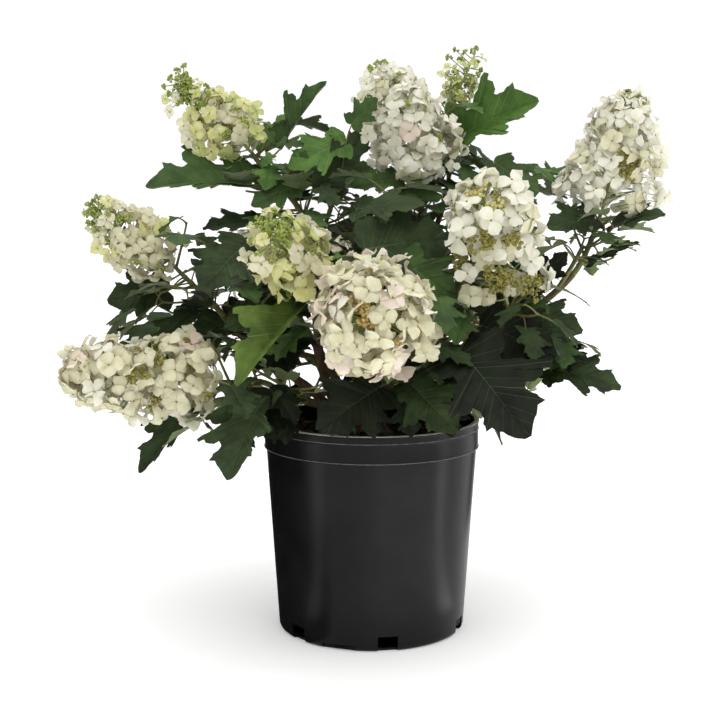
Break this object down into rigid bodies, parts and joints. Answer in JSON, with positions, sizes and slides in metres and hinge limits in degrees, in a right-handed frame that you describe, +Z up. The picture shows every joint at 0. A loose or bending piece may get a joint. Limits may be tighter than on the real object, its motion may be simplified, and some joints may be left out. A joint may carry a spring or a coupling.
{
  "type": "potted hydrangea shrub",
  "caption": "Flowering oak-leaved hydrangea shrub with lobed leaves and upright white flower heads, growing in a round black nursery pot.",
  "frame": {"origin": "centre of the pot's flat underside, on the surface that it stands on", "axes": "+Z up, -Y towards the front of the plant, +X to the viewer's right when facing the front"},
  "size_m": [0.5902, 0.5084, 0.5954],
  "materials": {
    "pot_plastic": "black moulded polyethylene with a soft sheen",
    "potting_mix": "dark, damp bark and peat mix",
    "old_wood": "brown, fibrous, peeling bark",
    "cane_bark": "olive brown bark, smooth to slightly ridged",
    "leaf_green": "living leaves: dark green above, paler and downy below",
    "blossom_white": "creamy white sepals",
    "blossom_greenish": "young, greenish cream sepals and buds",
    "blossom_green": "unopened green buds"
  },
  "bodies": {
    "root": {"bough_back": "cane_bark", "bough_back_low": "cane_bark", "bough_back_side": "cane_bark", "bough_centre_left": "cane_bark", "bough_right_centre": "cane_bark", "bough_top": "cane_bark", "cane_back_left": "cane_bark", "cane_back_right": "cane_bark", "cane_centre": "cane_bark", "cane_front": "cane_bark", "cane_left": "cane_bark", "cane_low_left": "cane_bark", "cane_right": "cane_bark", "cane_upper_left": "cane_bark", "flowers_back": "blossom_white", "flowers_back_left": "blossom_white", "flowers_back_low": "blossom_white", "flowers_back_right": "blossom_white", "flowers_centre": "blossom_white", "flowers_centre_left": "blossom_greenish", "flowers_left": "blossom_greenish", "flowers_low_left": "blossom_white", "flowers_right": "blossom_white", "flowers_right_centre": "blossom_white", "flowers_top": "blossom_green", "flowers_top_centre": "blossom_white", "flowers_upper_left": "blossom_greenish", "leaves_back": "leaf_green", "leaves_back_left": "leaf_green", "leaves_back_low": "leaf_green", "leaves_back_low_left": "leaf_green", "leaves_back_low_right": "leaf_green", "leaves_back_right": "leaf_green", "leaves_back_side": "leaf_green", "leaves_back_top": "leaf_green", "leaves_centre": "leaf_green", "leaves_centre_left": "leaf_green", "leaves_front_left_low": "leaf_green", "leaves_front_low": "leaf_green", "leaves_front_right": "leaf_green", "leaves_knee_right": "leaf_green", "leaves_left": "leaf_green", "leaves_low_left": "leaf_green", "leaves_low_right": "leaf_green", "leaves_mid_left": "leaf_green", "leaves_middle": "leaf_green", "leaves_right": "leaf_green", "leaves_right_centre": "leaf_green", "leaves_top": "leaf_green", "leaves_top_centre": "leaf_green", "leaves_upper_centre": "leaf_green", "leaves_upper_left": "leaf_green", "leaves_upper_right": "leaf_green", "pot": "pot_plastic", "soil": "potting_mix", "woody_crown": "old_wood"}
  },
  "joints": []
}
